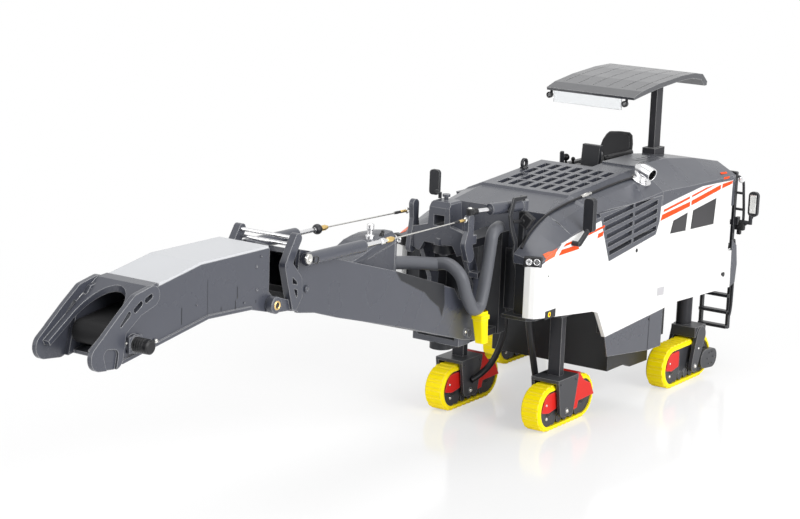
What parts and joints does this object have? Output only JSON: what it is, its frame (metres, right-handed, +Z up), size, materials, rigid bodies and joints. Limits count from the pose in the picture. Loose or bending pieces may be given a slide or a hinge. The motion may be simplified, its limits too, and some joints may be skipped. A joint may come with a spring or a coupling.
{
  "type": "cold planer milling machine",
  "caption": "Scale model of a tracked road milling machine with lifting legs, milling drum, canopy and a folding front conveyor.",
  "frame": {"origin": "middle of the bounding box at the bottom of the tracks", "axes": "+X forward along the conveyor, +Y to the machine's left, +Z up"},
  "size_m": [0.2414, 0.0558, 0.0773],
  "materials": {
    "frame_black": "satin",
    "body_grey": "satin",
    "panel_white": "satin",
    "roof_silver": "satin",
    "seat_black": "matte",
    "chrome": "polished",
    "clear_plastic": "clear",
    "drum_steel": "satin",
    "belt_rubber": "matte",
    "pipe_grey": "satin",
    "yellow_plastic": "satin",
    "track_yellow": "satin",
    "red_plastic": "satin"
  },
  "bodies": {
    "chassis": {"canopy": "body_grey", "console": "frame_black", "corner_posts": "frame_black", "drum_housing": "frame_black", "exhaust": "chrome", "hood_front": "body_grey", "hood_rear": "body_grey", "ladder": "frame_black", "lifting_ring": "frame_black", "main_frame": "frame_black", "mast": "body_grey", "mirrors": "frame_black", "nose_lamps": "frame_black", "operator_deck": "frame_black", "roof_lamps": "chrome", "seat": "seat_black", "side_panels": "panel_white", "side_vents": "body_grey", "skirts": "body_grey", "swing_arm": "frame_black", "visor": "clear_plastic"},
    "drum": {"milling_drum": "drum_steel"},
    "leg_front_left": {"column_front_left": "body_grey"},
    "running_front_left": {"undercarriage_front_left": "frame_black", "track_front_left": "track_yellow", "guards_front_left": "red_plastic"},
    "leg_front_right": {"column_front_right": "body_grey"},
    "running_front_right": {"undercarriage_front_right": "frame_black", "track_front_right": "track_yellow", "guards_front_right": "red_plastic"},
    "leg_rear_left": {"column_rear_left": "body_grey"},
    "running_rear_left": {"undercarriage_rear_left": "frame_black", "track_rear_left": "track_yellow", "guards_rear_left": "red_plastic"},
    "leg_rear_right": {"column_rear_right": "body_grey"},
    "running_rear_right": {"undercarriage_rear_right": "frame_black", "track_rear_right": "track_yellow", "guards_rear_right": "red_plastic"},
    "slewer": {"slew_yoke": "body_grey", "dust_pipe": "pipe_grey", "chute": "yellow_plastic", "tower_mirror": "frame_black"},
    "conveyor": {"conveyor_rear": "body_grey", "cross_rods": "chrome", "transfer_hood": "body_grey", "belt_rear": "belt_rubber"},
    "conveyor_head": {"conveyor_front": "body_grey", "conveyor_roof": "roof_silver", "nose": "body_grey", "belt_front": "belt_rubber"},
    "luff_barrels": {"luff_barrels": "body_grey"},
    "luff_rods": {"luff_rods": "chrome"},
    "slew_barrel": {"slew_barrel": "body_grey"},
    "slew_rod": {"slew_rod": "chrome"}
  },
  "joints": [
    {"name": "drum_spin", "type": "hinge", "parent": "chassis", "child": "drum", "pos_m": [-0.0685, 0.00185, 0.019], "axis": [0, 1, 0], "continuous": true},
    {"name": "lift_front_left", "type": "slide", "parent": "chassis", "child": "leg_front_left", "axis": [0, 0, 1], "range_m": [0, 0.006]},
    {"name": "steer_front_left", "type": "hinge", "parent": "leg_front_left", "child": "running_front_left", "pos_m": [-0.0377, 0.01535, 0.012], "axis": [0, 0, 1], "range_deg": [-12, 12]},
    {"name": "lift_front_right", "type": "slide", "parent": "chassis", "child": "leg_front_right", "axis": [0, 0, 1], "range_m": [0, 0.006]},
    {"name": "steer_front_right", "type": "hinge", "parent": "leg_front_right", "child": "running_front_right", "pos_m": [-0.0377, -0.01165, 0.012], "axis": [0, 0, 1], "range_deg": [-12, 12]},
    {"name": "lift_rear_left", "type": "slide", "parent": "chassis", "child": "leg_rear_left", "axis": [0, 0, 1], "range_m": [0, 0.006]},
    {"name": "steer_rear_left", "type": "hinge", "parent": "leg_rear_left", "child": "running_rear_left", "pos_m": [-0.0978, 0.01865, 0.012], "axis": [0, 0, 1], "range_deg": [-12, 12]},
    {"name": "lift_rear_right", "type": "slide", "parent": "chassis", "child": "leg_rear_right", "axis": [0, 0, 1], "range_m": [0, 0.006]},
    {"name": "steer_rear_right", "type": "hinge", "parent": "leg_rear_right", "child": "running_rear_right", "pos_m": [-0.0856, -0.02385, 0.012], "axis": [0, 0, 1], "range_deg": [-12, 12]},
    {"name": "conveyor_slew", "type": "hinge", "parent": "chassis", "child": "slewer", "pos_m": [-0.0075, 0.00185, 0.03], "axis": [0, 0, 1], "range_deg": [-25, 25]},
    {"name": "conveyor_luff", "type": "hinge", "parent": "slewer", "child": "conveyor", "pos_m": [-0.0075, 0.00185, 0.0273], "axis": [0, -1, 0], "range_deg": [-4, 12]},
    {"name": "conveyor_fold", "type": "hinge", "parent": "conveyor", "child": "conveyor_head", "pos_m": [0.0665, 0.00185, 0.0474], "axis": [0, 1, 0], "range_deg": [0, 40]},
    {"name": "luff_barrel_swing", "type": "hinge", "parent": "conveyor", "child": "luff_barrels", "pos_m": [0.0567, 0.00185, 0.0554], "axis": [0, -1, 0], "range_deg": [-0.6, 1.6]},
    {"name": "luff_rod_slide", "type": "slide", "parent": "luff_barrels", "child": "luff_rods", "axis": [-0.9998, 0, -0.02], "range_m": [-0.0056, 0.0019]},
    {"name": "slew_barrel_swing", "type": "hinge", "parent": "chassis", "child": "slew_barrel", "pos_m": [-0.0208, 0.01395, 0.0557], "axis": [0, 0, 1], "range_deg": [-0.7, 0.7]},
    {"name": "slew_rod_slide", "type": "slide", "parent": "slew_barrel", "child": "slew_rod", "axis": [0.962, -0.2731, 0], "range_m": [-0.0035, 0.0035]}
  ],
  "couplings": [
    {"joint": "luff_barrel_swing", "follows": "conveyor_luff", "ratio": 0.125},
    {"joint": "luff_rod_slide", "follows": "conveyor_luff", "m_per_rad": -0.0262},
    {"joint": "slew_barrel_swing", "follows": "conveyor_slew", "ratio": -0.0228},
    {"joint": "slew_rod_slide", "follows": "conveyor_slew", "m_per_rad": -0.00775}
  ]
}
